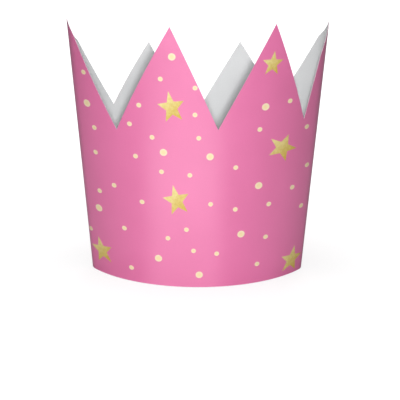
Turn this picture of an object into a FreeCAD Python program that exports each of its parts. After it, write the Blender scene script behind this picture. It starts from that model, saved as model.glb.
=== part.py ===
import FreeCAD
import Part
import math
import os

# A paper crown made from one sheet of card. The sheet is rolled into an oval band that widens
# as it rises, its two ends are lapped and glued at the back, and its top edge is cut into six
# pointed spikes. Origin: middle of the oval, in the plane of the bottom rim. Front is -Y, up is +Z.

# Driving sizes, in millimetres and degrees.
CARD_THICKNESS = 0.4
RIM_HALF_WIDTH = 96.0
RIM_HALF_DEPTH = 59.0
RIM_END_RADIUS = 17.0
WALL_LEAN = 5.0
LAP_WIDTH = 15.0
LAP_STEP_LENGTH = 4.0

# The top edge, corner by corner round the crown: the bottom of each notch and the tip of each
# spike in turn. A station is the distance along the bottom rim from the front middle towards +X,
# and the height is taken straight up from the rim.
TOP_EDGE = [
    # name, station, height
    ("front notch", 16.0, 147.0),
    ("front right tip", 59.0, 238.0),
    ("front right notch", 95.0, 147.0),
    ("right tip", 118.0, 232.0),
    ("back right notch", 170.0, 142.0),
    ("back right tip", 205.0, 196.0),
    ("back notch", 246.0, 117.0),
    ("back left tip", 280.0, 196.0),
    ("back left notch", 315.0, 142.0),
    ("left tip", 363.0, 232.0),
    ("front left notch", 412.0, 142.0),
    ("front left tip", 459.0, 238.0),
]
LAPPED_NOTCH = "back notch"

# The blank stands this far above the highest tip before it is cut, and the cutting rule stands
# this far proud of the card on both sides.
TRIM_ALLOWANCE = 8.0
RULE_REACH = 3.0
POINTS_ON_A_CUT = 9

HALF_TURN = math.pi
FULL_TURN = 2 * math.pi

# The rim is four arcs that run into each other: two wide ones in front and behind, whose centres
# lie beyond the middle, and two tight ones round the ends.
end_centre = RIM_HALF_WIDTH - RIM_END_RADIUS
depth_past_end = RIM_HALF_DEPTH - RIM_END_RADIUS
wide_centre = (end_centre**2 - depth_past_end**2) / (2 * depth_past_end)
wide_radius = RIM_HALF_DEPTH + wide_centre
wide_angle = math.atan2(end_centre, wide_centre)

# Each arc's centre and radius, and the turns where it starts and ends. A turn is the direction
# that the card faces, as an angle from straight ahead towards +X.
RIM_ARCS = [
    ((0, wide_centre), wide_radius, -wide_angle, wide_angle),
    ((end_centre, 0), RIM_END_RADIUS, wide_angle, HALF_TURN - wide_angle),
    ((0, -wide_centre), wide_radius, HALF_TURN - wide_angle, HALF_TURN + wide_angle),
    ((-end_centre, 0), RIM_END_RADIUS, HALF_TURN + wide_angle, FULL_TURN - wide_angle),
]
rim_length = sum(radius * (end - start) for centre, radius, start, end in RIM_ARCS)
blank_height = max(height for name, station, height in TOP_EDGE) + TRIM_ALLOWANCE


def turn_at(station):
    """The turn at a distance along the rim from the front middle."""
    rounds, rest = divmod(station + wide_radius * wide_angle, rim_length)
    for centre, radius, start, end in RIM_ARCS:
        arc_length = radius * (end - start)
        if rest <= arc_length:
            return start + rest / radius + rounds * FULL_TURN
        rest -= arc_length


def card_point(turn, height, offset=0.0):
    """The point on the card's outside at a turn and a height, or offset square out from it."""
    first_arc_turn = (turn + wide_angle) % FULL_TURN - wide_angle
    centre, radius = next(
        (centre, radius) for centre, radius, start, end in RIM_ARCS if first_arc_turn <= end
    )
    reach = radius + height * math.tan(math.radians(WALL_LEAN)) + offset
    return FreeCAD.Vector(
        centre[0] + reach * math.sin(turn),
        centre[1] - reach * math.cos(turn),
        height,
    )


def card_arcs(start_turn, end_turn, height, offset=0.0):
    """The level arcs that follow the card from one turn to a later one."""
    joints = [end + rounds * FULL_TURN for rounds in (0, 1) for *arc, end in RIM_ARCS]
    turns = [start_turn] + [turn for turn in joints if start_turn < turn < end_turn] + [end_turn]
    arcs = []
    for start, end in zip(turns, turns[1:]):
        through = [card_point(turn, height, offset) for turn in (start, (start + end) / 2, end)]
        arcs.append(Part.Arc(*through).toShape())
    return arcs


def lap_turns():
    """Where the sheet starts to step outwards, and where its inner and outer ends lie."""
    middle = next(station for name, station, height in TOP_EDGE if name == LAPPED_NOTCH)
    inner_end = middle - LAP_WIDTH / 2
    outer_end = middle + LAP_WIDTH / 2
    return turn_at(inner_end - LAP_STEP_LENGTH), turn_at(inner_end), turn_at(outer_end)


def outside_outline(height):
    """The band's outside at a height: the card, with one more layer of it over the lap."""
    step, inner_end, outer_end = lap_turns()
    step_up = Part.makeLine(
        card_point(step, height),
        card_point(inner_end, height, CARD_THICKNESS),
    )
    cut_end = Part.makeLine(
        card_point(outer_end, height, CARD_THICKNESS),
        card_point(outer_end, height),
    )
    around = card_arcs(outer_end, step + FULL_TURN, height)
    over_lap = card_arcs(inner_end, outer_end, height, CARD_THICKNESS)
    return Part.Wire(around + [step_up] + over_lap + [cut_end])


def inside_outline(height):
    """The band's inside at a height, with the step beside the sheet's inner end."""
    step, inner_end, outer_end = lap_turns()
    step_up = Part.makeLine(
        card_point(step, height, -CARD_THICKNESS),
        card_point(inner_end, height),
    )
    cut_end = Part.makeLine(
        card_point(inner_end, height),
        card_point(inner_end, height, -CARD_THICKNESS),
    )
    around = card_arcs(inner_end, step + FULL_TURN, height, -CARD_THICKNESS)
    return Part.Wire(around + [step_up, cut_end])


def rolled_blank():
    """The sheet before its spikes are cut, rolled and glued: the space between two ruled walls."""
    outside = Part.makeLoft([outside_outline(0), outside_outline(blank_height)], True, True)
    inside = Part.makeLoft([inside_outline(0), inside_outline(blank_height)], True, True)
    return outside.cut(inside)


def cut_line(start, end, offset):
    """A cut that is straight in the flat sheet, as it lies offset square out from the rolled card."""
    points = []
    for step in range(POINTS_ON_A_CUT):
        share = step / (POINTS_ON_A_CUT - 1)
        station, height = (a + share * (b - a) for a, b in zip(start, end))
        points.append(card_point(turn_at(station), height, offset))
    curve = Part.BSplineCurve()
    curve.interpolate(points)
    return curve.toShape()


def cutting_rule():
    """The blades of the zigzag rule that cuts the top edge, all standing square to the card."""
    corners = [(station, height) for name, station, height in TOP_EDGE]
    first_station, first_height = corners[0]
    corners.append((first_station + rim_length, first_height))
    reach = CARD_THICKNESS + RULE_REACH
    return [
        Part.makeRuledSurface(cut_line(start, end, -reach), cut_line(start, end, reach))
        for start, end in zip(corners, corners[1:])
    ]


def crown():
    """The blank parted along the cutting rule, of which the piece with the bottom rim is kept."""
    pieces = rolled_blank().generalFuse(cutting_rule())[0].Solids
    return min(pieces, key=lambda piece: piece.BoundBox.ZMin)


solid = crown()
print("crown: valid", solid.isValid(), "volume mm3", round(solid.Volume, 1), "rim mm", round(rim_length, 1))
os.makedirs("parts", exist_ok=True)
solid.exportStep("parts/crown.step")
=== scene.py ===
"""A paper crown, made as the real one is: a flat sheet of card is printed, its spikes are cut,
and it is rolled into an oval that widens as it rises, with its ends lapped and glued behind."""

import math

import bpy
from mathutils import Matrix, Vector


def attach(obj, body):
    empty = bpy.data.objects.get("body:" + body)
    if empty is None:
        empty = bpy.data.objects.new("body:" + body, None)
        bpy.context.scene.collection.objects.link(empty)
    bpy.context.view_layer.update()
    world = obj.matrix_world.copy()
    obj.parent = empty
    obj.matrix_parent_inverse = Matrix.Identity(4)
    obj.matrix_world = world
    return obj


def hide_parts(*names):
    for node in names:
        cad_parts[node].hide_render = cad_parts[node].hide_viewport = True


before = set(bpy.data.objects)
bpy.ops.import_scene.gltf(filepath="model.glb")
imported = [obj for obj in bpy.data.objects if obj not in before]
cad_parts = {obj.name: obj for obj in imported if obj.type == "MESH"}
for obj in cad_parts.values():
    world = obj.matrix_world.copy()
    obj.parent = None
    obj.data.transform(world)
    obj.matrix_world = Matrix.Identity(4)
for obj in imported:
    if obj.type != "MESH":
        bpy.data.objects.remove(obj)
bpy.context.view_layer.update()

MM = 0.001
HALF_TURN = math.pi
FULL_TURN = 2 * math.pi

# The crown's own sizes, in millimetres and degrees.
CARD_THICKNESS = 0.4
RIM_HALF_WIDTH = 96.0
RIM_HALF_DEPTH = 59.0
RIM_END_RADIUS = 17.0
WALL_LEAN = 5.0
LAP_WIDTH = 15.0
LAP_STEP_LENGTH = 4.0
LAP_GLUE = 0.03

# The top edge, corner by corner round the crown. A station is the distance along the bottom rim
# from the front middle towards +X, and the height is taken straight up from the rim.
TOP_EDGE = [
    # name, station, height
    ("front notch", 16.0, 147.0),
    ("front right tip", 59.0, 238.0),
    ("front right notch", 95.0, 147.0),
    ("right tip", 118.0, 232.0),
    ("back right notch", 170.0, 142.0),
    ("back right tip", 205.0, 196.0),
    ("back notch", 246.0, 117.0),
    ("back left tip", 280.0, 196.0),
    ("back left notch", 315.0, 142.0),
    ("left tip", 363.0, 232.0),
    ("front left notch", 412.0, 142.0),
    ("front left tip", 459.0, 238.0),
]
LAPPED_NOTCH = "back notch"
TRIM_ALLOWANCE = 8.0

# The print is laid out on the front half of the sheet, and the same layout comes again on the back
# half. Stations left of the front middle are negative.
STARS = [
    # station, height, size from the middle to a long point, turn to the left in degrees
    (-20, 167, 14.8, 10),
    (-17, 82, 14.8, 12),
    (58, 203, 11.3, -5),
    (73, 125, 14.6, 46),
    (-96, 22, 12.8, 11),
    (96, 14, 12.8, -9),
]
LARGE_DOTS = [
    # station, height
    (-19, 212), (-27, 126), (10, 123), (54, 165), (52, 93),
    (38, 49), (-34, 26), (2, 12), (-99, 160), (-95, 63),
]
SMALL_DOTS = [
    # station, height
    (-28, 192), (-46, 167), (-2, 185), (-55, 149), (-2, 161), (-36, 139), (1, 140),
    (-51, 120), (-29, 108), (-6, 106), (-74, 89), (-92, 80), (-47, 78), (11, 79),
    (31, 112), (50, 145), (77, 167), (100, 139), (106, 102), (88, 85), (63, 74),
    (32, 73), (103, 64), (62, 43), (55, 18), (17, 32), (-3, 35), (-9, 55),
    (-25, 46), (-66, 50), (-61, 13), (-111, 39), (-92, 139), (-93, 116), (-100, 188),
]
LARGE_DOT_RADIUS = 3.2
SMALL_DOT_RADIUS = 2.1
PRINT_THICKNESS = 0.03
PRINT_LIFT = 0.06

# A star's waist is how far out its inner corners lie, as a share of its size. Its width is a share
# of a regular star's.
STAR_POINTS = 5
STAR_WAIST = 0.42
STAR_WIDTH = 0.82

# The print is drawn wider towards the oval's ends, with the square of the distance from the front
# middle, and by this share where that distance is the rim's half width.
EXTRA_WIDTH_AT_ENDS = 0.5

# How finely the flat shapes are divided, so that they bend smoothly when they are rolled.
GRID_STEP_ALONG = 2.0
GRID_STEP_UP = 4.0
DOT_CORNERS = 28
STAR_CUTS = 7
STEPS_ALONG_A_LEVEL = 8
SMOOTH_BELOW = 35
SCORE_TOLERANCE = 1e-7

# The floor, in metres. Each reach is a pair of distances from the crown's middle, and the levels
# are how bright the floor is at the two. The camera sees it a little less white round the foot,
# where its glow is painted dimmer so that the lamps' shadow shows: painted shade over a real
# shadow.
FLOOR_WIDTH = 3
FLOOR_BELOW_RIM = 0.0005
FLOOR_PAINT = 0.22
FOOT_REACH = (0.12, 0.42)
FOOT_LEVELS = (0.78, 1.0)

# Painted reflection: the floor glows over a fan before the crown for reflections alone, which lays
# a highlight band on the pink. Its direction, its half spread and the half width of its soft edges
# are in degrees from straight ahead towards +X.
REFLECTED_GLOW_DIRECTION = -11
REFLECTED_GLOW_HALF_SPREAD = 31
REFLECTED_GLOW_SOFTNESS = 9
REFLECTED_GLOW_EDGE_LEVELS = (0.76, 0.02)
REFLECTED_GLOW_NEAR_REACH = (0.08, 0.34)
REFLECTED_GLOW_NEAR_LEVELS = (0.45, 1.05)
REFLECTED_GLOW_FAR_REACH = (0.34, 0.50)
REFLECTED_GLOW_FAR_LEVELS = (1.0, 0.2)

# The lamps are square and face their aims. Places and widths are in metres, powers in watts.
LAMPS = [
    # name, place, aim, width, power
    ("key_lamp", (0.022, -1.6, 0.48), (0, 0, 0.09), 0.09, 19),
    ("left_lamp", (-0.74, -1.36, 0.22), (0, 0, 0.09), 0.8, 4.4),
    ("top_lamp", (-0.05, -0.13, 1.3), (0, 0.05, 0.15), 0.7, 14),
    ("back_lamp", (0.3, 1.5, 0.5), (0, 0, 0.11), 0.8, 14),
]
FILL_STRENGTH = 0.06

# The camera, in metres and degrees. The sensor and the focal length are in millimetres, and the
# shifts are shares of the picture's width.
CAMERA_PLACE = (0, -1.4742, 0.5068)
CAMERA_LOOKS_DOWN = 16.74
CAMERA_ROLL = -0.25
SENSOR_WIDTH = 36
FOCAL_LENGTH = 151.9
SHIFT_ACROSS = 0.0016
SHIFT_UP = -0.0005

# The rim is four arcs that run into each other: two wide ones in front and behind, whose centres
# lie beyond the middle, and two tight ones round the ends.
end_centre = RIM_HALF_WIDTH - RIM_END_RADIUS
depth_past_end = RIM_HALF_DEPTH - RIM_END_RADIUS
wide_centre = (end_centre**2 - depth_past_end**2) / (2 * depth_past_end)
wide_radius = RIM_HALF_DEPTH + wide_centre
wide_angle = math.atan2(end_centre, wide_centre)
RIM_ARCS = [
    ((0, wide_centre), wide_radius, -wide_angle, wide_angle),
    ((end_centre, 0), RIM_END_RADIUS, wide_angle, HALF_TURN - wide_angle),
    ((0, -wide_centre), wide_radius, HALF_TURN - wide_angle, HALF_TURN + wide_angle),
    ((-end_centre, 0), RIM_END_RADIUS, HALF_TURN + wide_angle, FULL_TURN - wide_angle),
]
rim_length = sum(radius * (end - start) for centre, radius, start, end in RIM_ARCS)
half_rim = rim_length / 2
wide_arc_length = 2 * wide_radius * wide_angle
lean_slope = math.tan(math.radians(WALL_LEAN))

# The flat sheet starts at the lap's inner end, runs once round the rim and goes on over the lap.
notch_station = next(station for name, station, height in TOP_EDGE if name == LAPPED_NOTCH)
sheet_start = notch_station - LAP_WIDTH / 2
sheet_end = notch_station + LAP_WIDTH / 2 + rim_length


def past_first_arc_start(station):
    """How far round the rim a station lies from the start of the first arc."""
    return (station + wide_arc_length / 2) % rim_length


def rolled_point(station, height, offset):
    """Where a point of the flat sheet lies once the crown is rolled, all in millimetres."""
    rest = past_first_arc_start(station)
    for centre, radius, start, end in RIM_ARCS:
        arc_length = radius * (end - start)
        if rest <= arc_length:
            break
        rest -= arc_length
    turn = start + rest / radius
    reach = radius + height * lean_slope + offset
    return Vector((centre[0] + reach * math.sin(turn), centre[1] - reach * math.cos(turn), height))


def along_level(station, height, distance):
    """The station reached by going a distance along the rolled card, level at a height."""
    for _ in range(STEPS_ALONG_A_LEVEL):
        at_end = past_first_arc_start(station) % half_rim > wide_arc_length
        radius = RIM_END_RADIUS if at_end else wide_radius
        spread = 1 + height * lean_slope / radius
        station += distance / STEPS_ALONG_A_LEVEL / spread
    return station


def lap_lift(station):
    """How far the sheet's outer end is lifted where it steps over the inner one."""
    step_start = sheet_end - LAP_WIDTH - LAP_STEP_LENGTH
    share = min(max((station - step_start) / LAP_STEP_LENGTH, 0), 1)
    return share * (CARD_THICKNESS + LAP_GLUE)


def roll_up(piece):
    """Rolls a flat piece into the crown. Lying flat, its x is the station and its y the height."""
    for vertex in piece.data.vertices:
        station, height, offset = vertex.co / MM
        vertex.co = rolled_point(station, height, offset + lap_lift(station)) * MM


def select_only(piece):
    """Selects one piece alone and makes it the active one."""
    bpy.ops.object.select_all(action="DESELECT")
    piece.select_set(True)
    bpy.context.view_layer.objects.active = piece


def join(pieces, name):
    """Joins pieces into one of that name."""
    select_only(pieces[0])
    for piece in pieces:
        piece.select_set(True)
    bpy.ops.object.join()
    joined = bpy.context.active_object
    joined.name = name
    joined.data.name = name
    return joined


def score(point, normal):
    """Puts a straight edge across the selected faces of a flat piece."""
    bpy.ops.mesh.bisect(
        plane_co=(point[0] * MM, point[1] * MM, 0),
        plane_no=Vector((*normal, 0)).normalized(),
        threshold=SCORE_TOLERANCE,
    )


def select_faces(piece, wanted):
    """Selects the faces of a flat piece whose middles are wanted, and says whether it has any."""
    bpy.ops.object.mode_set(mode="OBJECT")
    for face in piece.data.polygons:
        face.select = wanted(*(face.center.xy / MM))
    found = any(face.select for face in piece.data.polygons)
    bpy.ops.object.mode_set(mode="EDIT")
    return found


def cut_out(piece):
    """Cuts a flat piece to the crown's outline: the zigzag top, the two ends and the bottom rim."""
    corners = [
        (station + rounds * rim_length, height)
        for rounds in (0, 1)
        for name, station, height in TOP_EDGE
    ]

    def is_waste(station, height):
        for (start, start_height), (end, end_height) in zip(corners, corners[1:]):
            if start <= station <= end:
                share = (station - start) / (end - start)
                above = height > start_height + share * (end_height - start_height)
        return above or height < 0 or not sheet_start < station < sheet_end

    select_only(piece)
    bpy.ops.object.mode_set(mode="EDIT")
    bpy.ops.mesh.select_mode(type="FACE")
    lines = [((station, 0), (1, 0)) for station, height in corners]
    lines += [((sheet_start, 0), (1, 0)), ((sheet_end, 0), (1, 0)), ((0, 0), (0, 1))]
    for point, normal in lines:
        bpy.ops.mesh.select_all(action="SELECT")
        score(point, normal)
    for (start, start_height), (end, end_height) in zip(corners, corners[1:]):
        if select_faces(piece, lambda station, height: start < station < end):
            score((start, start_height), (start_height - end_height, end - start))
    if select_faces(piece, is_waste):
        bpy.ops.mesh.delete(type="FACE")
    bpy.ops.object.mode_set(mode="OBJECT")


def thicken(piece, thickness, inner_slot=0, edge_slot=0):
    """Gives a sheet its thickness, inwards from its printed side."""
    wall = piece.modifiers.new("thickness", "SOLIDIFY")
    wall.thickness = thickness * MM
    wall.offset = -1
    wall.use_even_offset = True
    wall.material_offset = inner_slot
    wall.material_offset_rim = edge_slot
    select_only(piece)
    bpy.ops.object.modifier_apply(modifier=wall.name)


def smooth(piece):
    """Shades a piece smoothly, apart from its sharp edges."""
    select_only(piece)
    bpy.ops.object.shade_smooth_by_angle(angle=math.radians(SMOOTH_BELOW))


def flat_sheet():
    """The blank as it comes off the roll, lying flat with its printed side up."""
    length = sheet_end - sheet_start
    height = max(height for name, station, height in TOP_EDGE) + TRIM_ALLOWANCE
    bpy.ops.object.select_all(action="DESELECT")
    bpy.ops.mesh.primitive_grid_add(
        x_subdivisions=round(length / GRID_STEP_ALONG),
        y_subdivisions=round(height / GRID_STEP_UP),
        size=1,
    )
    sheet = bpy.context.active_object
    sheet.name = "card_band"
    bpy.ops.object.mode_set(mode="EDIT")
    bpy.ops.mesh.select_all(action="SELECT")
    bpy.ops.transform.resize(value=(length * MM, height * MM, 1))
    bpy.ops.transform.translate(value=((sheet_start + length / 2) * MM, height / 2 * MM, 0))
    bpy.ops.object.mode_set(mode="OBJECT")
    return sheet


def set_on_sheet(piece, station, height, size):
    """Lays a small shape's UV square round its middle, and sets the shape at its place on the
    sheet, just above the card. Near the oval's ends it is drawn wide, so that it looks round from
    the front, as it does in the photograph."""
    layer = piece.data.uv_layers.active or piece.data.uv_layers.new(name="UVMap")
    for corner in piece.data.loops:
        place = piece.data.vertices[corner.vertex_index].co / MM
        layer.data[corner.index].uv = (0.5 + place.x / (2 * size), 0.5 + place.y / (2 * size))
    from_middle = (station + half_rim / 2) % half_rim - half_rim / 2
    width = 1 + EXTRA_WIDTH_AT_ENDS * (from_middle / RIM_HALF_WIDTH) ** 2
    for vertex in piece.data.vertices:
        across, up, _ = vertex.co / MM
        level = height + up
        vertex.co = Vector((along_level(station, level, across * width), level, PRINT_LIFT)) * MM


def printed_dot(station, height, radius):
    """A round dot: a small disc divided finely enough to follow the rolled card."""
    bpy.ops.object.select_all(action="DESELECT")
    bpy.ops.mesh.primitive_circle_add(vertices=DOT_CORNERS, radius=radius * MM, fill_type="TRIFAN")
    dot = bpy.context.active_object
    bpy.ops.object.mode_set(mode="EDIT")
    bpy.ops.mesh.select_all(action="SELECT")
    bpy.ops.mesh.subdivide(number_cuts=1)
    bpy.ops.object.mode_set(mode="OBJECT")
    set_on_sheet(dot, station, height, radius)
    return dot


def printed_star(station, height, size, turn):
    """A slim star: every other corner of a disc with few sides is drawn in to the waist."""
    bpy.ops.object.select_all(action="DESELECT")
    bpy.ops.mesh.primitive_circle_add(vertices=2 * STAR_POINTS, radius=size * MM, fill_type="NGON")
    star = bpy.context.active_object
    angle = math.radians(turn)
    for corner in star.data.vertices:
        from_top = math.atan2(corner.co.x, corner.co.y)
        inner = round(from_top / (HALF_TURN / STAR_POINTS)) % 2 == 1
        reach = size * (STAR_WAIST if inner else 1) * MM
        across = reach * math.sin(from_top) * STAR_WIDTH
        up = reach * math.cos(from_top)
        corner.co.x = across * math.cos(angle) - up * math.sin(angle)
        corner.co.y = across * math.sin(angle) + up * math.cos(angle)
    bpy.ops.object.mode_set(mode="EDIT")
    bpy.ops.mesh.select_all(action="SELECT")
    bpy.ops.mesh.poke()
    bpy.ops.mesh.subdivide(number_cuts=STAR_CUTS)
    bpy.ops.object.mode_set(mode="OBJECT")
    set_on_sheet(star, station, height, size)
    return star


def repeats(station, reach):
    """The stations at which a shape of the layout comes on the sheet."""
    places = [station + half * half_rim for half in range(4)]
    return [place for place in places if sheet_start - reach < place < sheet_end + reach]


def print_layer(shapes, name, material):
    """Joins flat printed shapes into one layer, cuts them with the card and rolls them on to it."""
    layer = join(shapes, name)
    layer.data.materials.clear()
    layer.data.materials.append(material)
    cut_out(layer)
    roll_up(layer)
    thicken(layer, PRINT_THICKNESS)
    smooth(layer)
    return layer


def feed(tree, socket, value):
    """Links another node's output to a socket, or sets the socket to a plain value."""
    if isinstance(value, bpy.types.NodeSocket):
        tree.links.new(value, socket)
    else:
        socket.default_value = value


def node(tree, kind, **values):
    """Adds a shader node. Each value is one of its settings or is fed to the socket so named."""
    made = tree.nodes.new(kind)
    for name, value in values.items():
        if hasattr(made, name):
            setattr(made, name, value)
        else:
            feed(tree, made.inputs[name.replace("_", " ")], value)
    return made


def computed(tree, operation, *terms, kind="ShaderNodeMath"):
    """The number that a sum gives, from plain numbers and other nodes' outputs."""
    made = node(tree, kind, operation=operation)
    for socket, term in zip(made.inputs, terms):
        feed(tree, socket, term)
    return made.outputs["Value"]


def blended(tree, share, first, second):
    """A number that lies a share of the way from one to another."""
    made = node(tree, "ShaderNodeMix", data_type="FLOAT")
    for place, term in ((0, share), (2, first), (3, second)):
        feed(tree, made.inputs[place], term)
    return made.outputs[0]


def mapped(tree, value, span, levels, interpolation="SMOOTHSTEP"):
    """A number that runs between two levels while a value runs through a span."""
    made = node(
        tree,
        "ShaderNodeMapRange",
        interpolation_type=interpolation,
        Value=value,
        From_Min=span[0],
        From_Max=span[1],
        To_Min=levels[0],
        To_Max=levels[1],
    )
    return made.outputs["Result"]


def two_tones(tree, value, first, second, span=(0.0, 1.0)):
    """A colour that goes from one tone to another while a value runs through a span."""
    ramp = node(tree, "ShaderNodeValToRGB", Fac=value)
    for stop, position, tone in zip(ramp.color_ramp.elements, span, (first, second)):
        stop.position = position
        stop.color = (*tone, 1)
    return ramp.outputs["Color"]


def paper_grain():
    """Paper grain: fine fibres and a slow unevenness of the sheet, as relief and as a tone."""
    group = bpy.data.node_groups.new("paper grain", "ShaderNodeTree")
    face = group.interface
    face.new_socket("Place", in_out="INPUT", socket_type="NodeSocketVector")
    face.new_socket("Fibre Size", in_out="INPUT", socket_type="NodeSocketFloat")
    face.new_socket("Fibre Depth", in_out="INPUT", socket_type="NodeSocketFloat")
    face.new_socket("Normal", in_out="OUTPUT", socket_type="NodeSocketVector")
    face.new_socket("Tone", in_out="OUTPUT", socket_type="NodeSocketFloat")
    given = node(group, "NodeGroupInput").outputs
    fibres = node(
        group,
        "ShaderNodeTexNoise",
        Vector=given["Place"],
        Scale=computed(group, "DIVIDE", 1, given["Fibre Size"]),
        Detail=3.0,
        Roughness=0.6,
        Distortion=0.6,
    ).outputs["Fac"]
    cloud = node(
        group,
        "ShaderNodeTexNoise",
        Vector=given["Place"],
        Scale=22.0,
        Detail=2.0,
        Roughness=0.5,
    ).outputs["Fac"]
    relief = node(
        group,
        "ShaderNodeBump",
        Strength=0.35,
        Distance=given["Fibre Depth"],
        Height=fibres,
    ).outputs["Normal"]
    node(group, "NodeGroupOutput", Normal=relief, Tone=blended(group, 0.4, cloud, fibres))
    return group


def new_material(name):
    """A material, with its node tree and its surface shader."""
    material = bpy.data.materials.new(name)
    material.use_nodes = True
    tree = material.node_tree
    return material, tree, tree.nodes["Principled BSDF"]


def grain_surface(tree, shader, grain, fibre_size, fibre_depth, roughness):
    """Gives a surface the paper grain as relief and as a varied sheen, and says its tone. The
    fibres' size and depth are in metres."""
    place = node(tree, "ShaderNodeTexCoord").outputs["Object"]
    fibres = node(
        tree,
        "ShaderNodeGroup",
        node_tree=grain,
        Place=place,
        Fibre_Size=fibre_size,
        Fibre_Depth=fibre_depth,
    ).outputs
    sheen = mapped(tree, fibres["Tone"], (0, 1), roughness, interpolation="LINEAR")
    feed(tree, shader.inputs["Roughness"], sheen)
    feed(tree, shader.inputs["Normal"], fibres["Normal"])
    return fibres["Tone"]


def card_finish(name, grain, dark, light, fibre_size, fibre_depth, roughness):
    """A paper surface: two near tones of its colour, a varied sheen and the grain as relief."""
    material, tree, shader = new_material(name)
    tone = grain_surface(tree, shader, grain, fibre_size, fibre_depth, roughness)
    colour = two_tones(tree, tone, dark, light, span=(0.3, 0.7))
    feed(tree, shader.inputs["Base Color"], colour)
    return material


def pink_finish(grain):
    """Pink ink under a satin varnish, which mirrors more than bare card."""
    material = card_finish(
        "pink_print",
        grain,
        dark=(0.87, 0.18, 0.42),
        light=(0.93, 0.20, 0.46),
        fibre_size=0.0011,
        fibre_depth=0.00003,
        roughness=(0.26, 0.36),
    )
    shader = material.node_tree.nodes["Principled BSDF"]
    shader.inputs["Specular IOR Level"].default_value = 1.0
    shader.inputs["IOR"].default_value = 1.8
    return material


def board_finish(grain):
    """The bare grey-white inside of the card."""
    return card_finish(
        "plain_board",
        grain,
        dark=(0.59, 0.595, 0.60),
        light=(0.66, 0.665, 0.67),
        fibre_size=0.0009,
        fibre_depth=0.00005,
        roughness=(0.75, 0.95),
    )


def edge_finish(grain):
    """The card's cut edge, a little tinted by the ink."""
    return card_finish(
        "cut_edge",
        grain,
        dark=(0.50, 0.40, 0.44),
        light=(0.60, 0.50, 0.54),
        fibre_size=0.0004,
        fibre_depth=0.00005,
        roughness=(0.8, 0.95),
    )


def foil_finish(grain):
    """Pale gold foil, a little crinkled all over, with a painted highlight that makes each star
    lighter towards its upper left.
    """
    material, tree, shader = new_material("pale_gold_foil")
    grain_surface(tree, shader, grain, fibre_size=0.0012, fibre_depth=0.00003, roughness=(0.3, 0.5))
    place = node(tree, "ShaderNodeTexCoord").outputs
    # Painted highlight: each star's colour runs from pale at its upper left to deep at its lower
    # right, as if lit from the upper left.
    away_from_painted_highlight = (0.75, -0.66, 0)
    painted_highlight_slope = computed(tree, "DOT_PRODUCT", place["UV"], away_from_painted_highlight, kind="ShaderNodeVectorMath")
    crinkle = node(
        tree,
        "ShaderNodeTexNoise",
        Vector=place["Object"],
        Scale=330.0,
        Detail=3.0,
        Roughness=0.7,
    ).outputs["Fac"]
    crinkle_share = 0.9
    # The crinkle is the foil's own uneven tone, and the slope under it is the painted highlight.
    crinkle_and_painted_highlight = computed(tree, "MULTIPLY_ADD", crinkle, crinkle_share, painted_highlight_slope)
    shade = mapped(tree, crinkle_and_painted_highlight, (0.12, 0.80), (0, 1), interpolation="LINEAR")
    pale = (0.93, 0.80, 0.35)
    deep = (0.71, 0.51, 0.10)
    feed(tree, shader.inputs["Base Color"], two_tones(tree, shade, pale, deep))
    shader.inputs["Metallic"].default_value = 0.12
    return material


def cream_finish(grain):
    """Cream ink, a little yellower in the middle of each dot."""
    material, tree, shader = new_material("cream_ink")
    grain_surface(tree, shader, grain, fibre_size=0.0010, fibre_depth=0.00002, roughness=(0.4, 0.6))
    uv = node(tree, "ShaderNodeTexCoord").outputs["UV"]
    middle = (0.5, 0.5, 0)
    outwards = computed(tree, "DISTANCE", uv, middle, kind="ShaderNodeVectorMath")
    yellower = (0.96, 0.77, 0.43)
    paler = (0.97, 0.83, 0.57)
    colour = two_tones(tree, outwards, yellower, paler, span=(0.18, 0.42))
    feed(tree, shader.inputs["Base Color"], colour)
    return material


def make_card(printed_side, bare_side, cut_edge):
    """The card itself: cut flat, rolled, and given its thickness."""
    sheet = flat_sheet()
    for material in (printed_side, bare_side, cut_edge):
        sheet.data.materials.append(material)
    cut_out(sheet)
    roll_up(sheet)
    thicken(sheet, CARD_THICKNESS, inner_slot=1, edge_slot=2)
    smooth(sheet)
    return sheet


def painted_reflection_level(tree, place, distance):
    """How bright the painted reflection on the floor is at a place: brightest over a fan whose tip
    is the crown's middle, and fading towards the crown and away from it."""
    axes = node(tree, "ShaderNodeSeparateXYZ", Vector=place).outputs
    forward = computed(tree, "MULTIPLY", axes["Y"], -1)
    direction = computed(tree, "ARCTAN2", axes["X"], forward)
    from_reflection_middle = computed(tree, "SUBTRACT", direction, math.radians(REFLECTED_GLOW_DIRECTION))
    aside = computed(tree, "ABSOLUTE", from_reflection_middle)
    edge = [math.radians(REFLECTED_GLOW_HALF_SPREAD + side * REFLECTED_GLOW_SOFTNESS) for side in (-1, 1)]
    across = mapped(tree, aside, edge, REFLECTED_GLOW_EDGE_LEVELS)
    near = mapped(tree, distance, REFLECTED_GLOW_NEAR_REACH, REFLECTED_GLOW_NEAR_LEVELS)
    far = mapped(tree, distance, REFLECTED_GLOW_FAR_REACH, REFLECTED_GLOW_FAR_LEVELS)
    along = computed(tree, "MULTIPLY", near, far)
    return computed(tree, "MULTIPLY", along, across)


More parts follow.
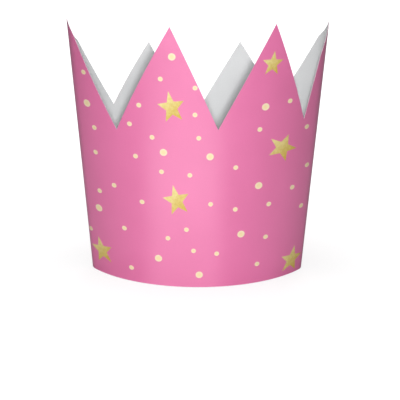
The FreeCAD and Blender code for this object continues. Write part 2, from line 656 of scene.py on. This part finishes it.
def white_floor():
    """A floor that shows white to the camera and keeps a faint shadow round the crown's foot, where
    its glow is painted dimmer. For reflections alone it glows over a fan before the crown, a
    painted reflection that lays a highlight band on the pink."""
    bpy.ops.object.select_all(action="DESELECT")
    bpy.ops.mesh.primitive_plane_add(size=FLOOR_WIDTH, location=(0, 0, -FLOOR_BELOW_RIM))
    floor = bpy.context.active_object
    floor.name = "studio_floor"
    material = bpy.data.materials.new("white_floor")
    material.use_nodes = True
    tree = material.node_tree
    tree.nodes.clear()
    place = node(tree, "ShaderNodeTexCoord").outputs["Object"]
    distance = computed(tree, "LENGTH", place, kind="ShaderNodeVectorMath")
    # Painted shade: the glow is dimmer round the foot, so that the lamps' own shadow shows there.
    seen = mapped(tree, distance, FOOT_REACH, FOOT_LEVELS)
    # Painted reflection: a glow that only reflections see, which gives the pink its highlight band.
    painted_reflection_glow = painted_reflection_level(tree, place, distance)
    ray = node(tree, "ShaderNodeLightPath").outputs
    level = blended(tree, ray["Is Glossy Ray"], seen, painted_reflection_glow)
    direct = computed(tree, "MAXIMUM", ray["Is Camera Ray"], ray["Is Transmission Ray"])
    shows = computed(tree, "MAXIMUM", direct, ray["Is Glossy Ray"])
    strength = computed(tree, "MULTIPLY", shows, level)
    paint = node(tree, "ShaderNodeBsdfDiffuse", Color=(FLOOR_PAINT, FLOOR_PAINT, FLOOR_PAINT, 1))
    glow = node(tree, "ShaderNodeEmission", Color=(1, 1, 1, 1), Strength=strength)
    both = node(tree, "ShaderNodeAddShader")
    tree.links.new(paint.outputs[0], both.inputs[0])
    tree.links.new(glow.outputs[0], both.inputs[1])
    node(tree, "ShaderNodeOutputMaterial", Surface=both.outputs[0])
    floor.data.materials.append(material)


def studio_world():
    """Soft light from all round, and a white sky wherever the camera sees past the floor."""
    world = bpy.data.worlds.new("studio")
    bpy.context.scene.world = world
    world.use_nodes = True
    tree = world.node_tree
    tree.nodes.clear()
    fill = node(tree, "ShaderNodeBackground", Color=(0.95, 0.97, 1.0, 1), Strength=FILL_STRENGTH)
    white = node(tree, "ShaderNodeBackground", Color=(1, 1, 1, 1), Strength=1.0)
    ray = node(tree, "ShaderNodeLightPath").outputs
    direct = computed(tree, "MAXIMUM", ray["Is Camera Ray"], ray["Is Transmission Ray"])
    sky = node(tree, "ShaderNodeMixShader", Fac=direct)
    tree.links.new(fill.outputs[0], sky.inputs[1])
    tree.links.new(white.outputs[0], sky.inputs[2])
    node(tree, "ShaderNodeOutputWorld", Surface=sky.outputs[0])


def soft_lamp(name, place, aim, width, power):
    """A square studio lamp at a place, turned to face a point."""
    lamp = bpy.data.lights.new(name, "AREA")
    lamp.shape = "SQUARE"
    lamp.size = width
    lamp.energy = power
    holder = bpy.data.objects.new(name, lamp)
    holder.location = place
    holder.rotation_euler = (Vector(aim) - Vector(place)).to_track_quat("-Z", "Y").to_euler()
    bpy.context.scene.collection.objects.link(holder)


def camera():
    """The photograph's viewpoint: about a metre and a half in front, looking a little down."""
    lens = bpy.data.cameras.new("camera")
    lens.sensor_width = SENSOR_WIDTH
    lens.lens = FOCAL_LENGTH
    lens.shift_x = SHIFT_ACROSS
    lens.shift_y = SHIFT_UP
    lens.clip_start = 0.05
    lens.clip_end = 30
    holder = bpy.data.objects.new("camera", lens)
    holder.location = CAMERA_PLACE
    tilt = math.radians(90 - CAMERA_LOOKS_DOWN)
    holder.rotation_euler = (tilt, math.radians(CAMERA_ROLL), 0)
    bpy.context.scene.collection.objects.link(holder)
    bpy.context.scene.camera = holder


grain = paper_grain()
card = make_card(pink_finish(grain), board_finish(grain), edge_finish(grain))
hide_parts("crown")

stars = print_layer(
    [
        printed_star(place, height, size, turn)
        for station, height, size, turn in STARS
        for place in repeats(station, size)
    ],
    "gold_stars",
    foil_finish(grain),
)
dots = print_layer(
    [
        printed_dot(place, height, radius)
        for layout, radius in ((LARGE_DOTS, LARGE_DOT_RADIUS), (SMALL_DOTS, SMALL_DOT_RADIUS))
        for station, height in layout
        for place in repeats(station, radius)
    ],
    "cream_dots",
    cream_finish(grain),
)
for piece in (card, stars, dots):
    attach(piece, "root")

white_floor()
studio_world()
for name, place, aim, width, power in LAMPS:
    soft_lamp(name, place, aim, width, power)
camera()
bpy.context.scene.view_settings.view_transform = "Standard"
